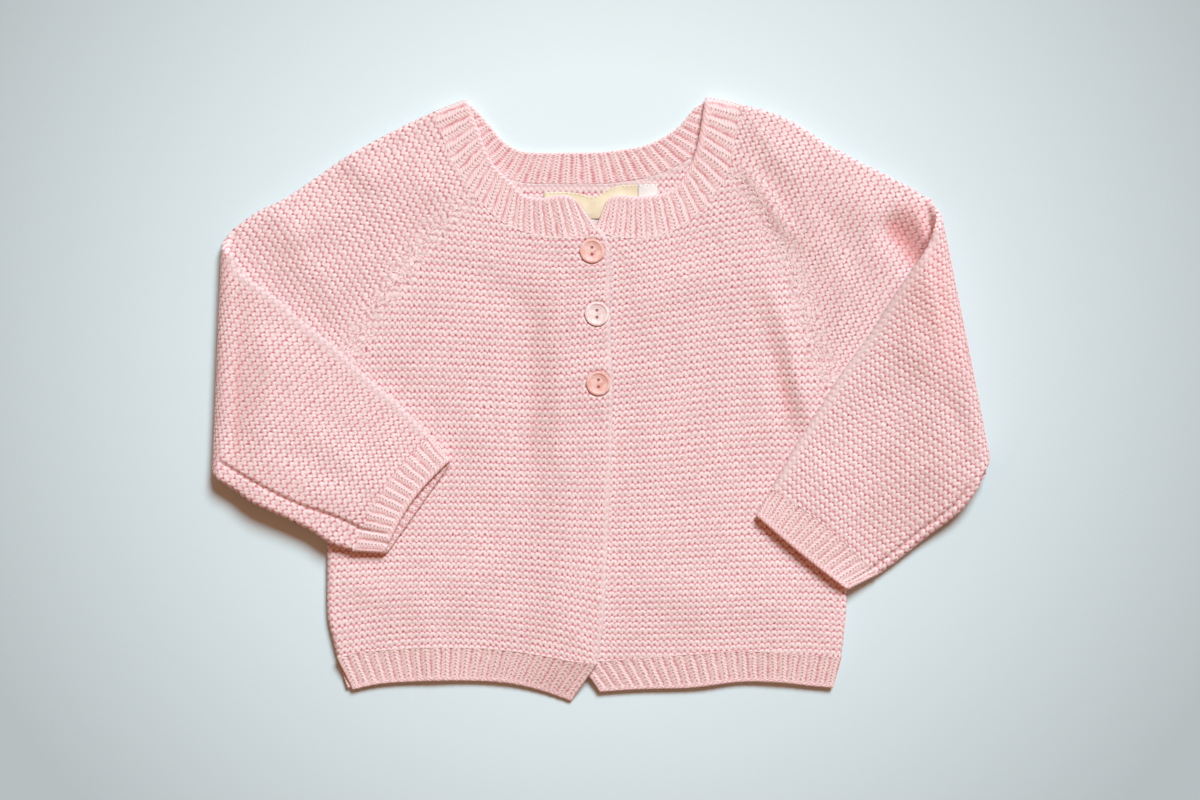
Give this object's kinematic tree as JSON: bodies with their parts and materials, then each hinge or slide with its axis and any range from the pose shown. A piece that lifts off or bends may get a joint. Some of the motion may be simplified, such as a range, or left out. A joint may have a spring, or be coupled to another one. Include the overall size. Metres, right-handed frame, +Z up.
{
  "type": "baby cardigan",
  "caption": "Long-sleeved baby cardigan in garter stitch with ribbed neckband, cuffs and hem, buttoned at the top and laid flat with both sleeves folded over the front.",
  "frame": {"origin": "on the surface the cardigan lies on, under the middle of its overall plan", "axes": "+Z up from the surface, +Y towards the neck, +X towards the wearer's left arm"},
  "size_m": [0.4234, 0.3294, 0.0156],
  "materials": {
    "garter_knit": "garter stitch in pink cotton yarn",
    "rib_knit": "1x1 rib in pink cotton yarn",
    "button_shell": "polished shell-like pink",
    "button_pale": "polished shell-like pale pink",
    "label_cream": "woven tape, unprinted",
    "label_white": "woven tape, unprinted"
  },
  "bodies": {
    "root": {"back_panel": "garter_knit", "right_front": "garter_knit", "left_front": "garter_knit", "right_sleeve": "garter_knit", "left_sleeve": "garter_knit", "neckband": "rib_knit", "hem_rib_back": "rib_knit", "hem_rib_right_front": "rib_knit", "hem_rib_left_front": "rib_knit", "cuff_right": "rib_knit", "cuff_left": "rib_knit", "button_1": "button_shell", "button_2": "button_pale", "button_3": "button_shell", "label_main": "label_cream", "label_size": "label_white", "label_care": "label_white"}
  },
  "joints": []
}
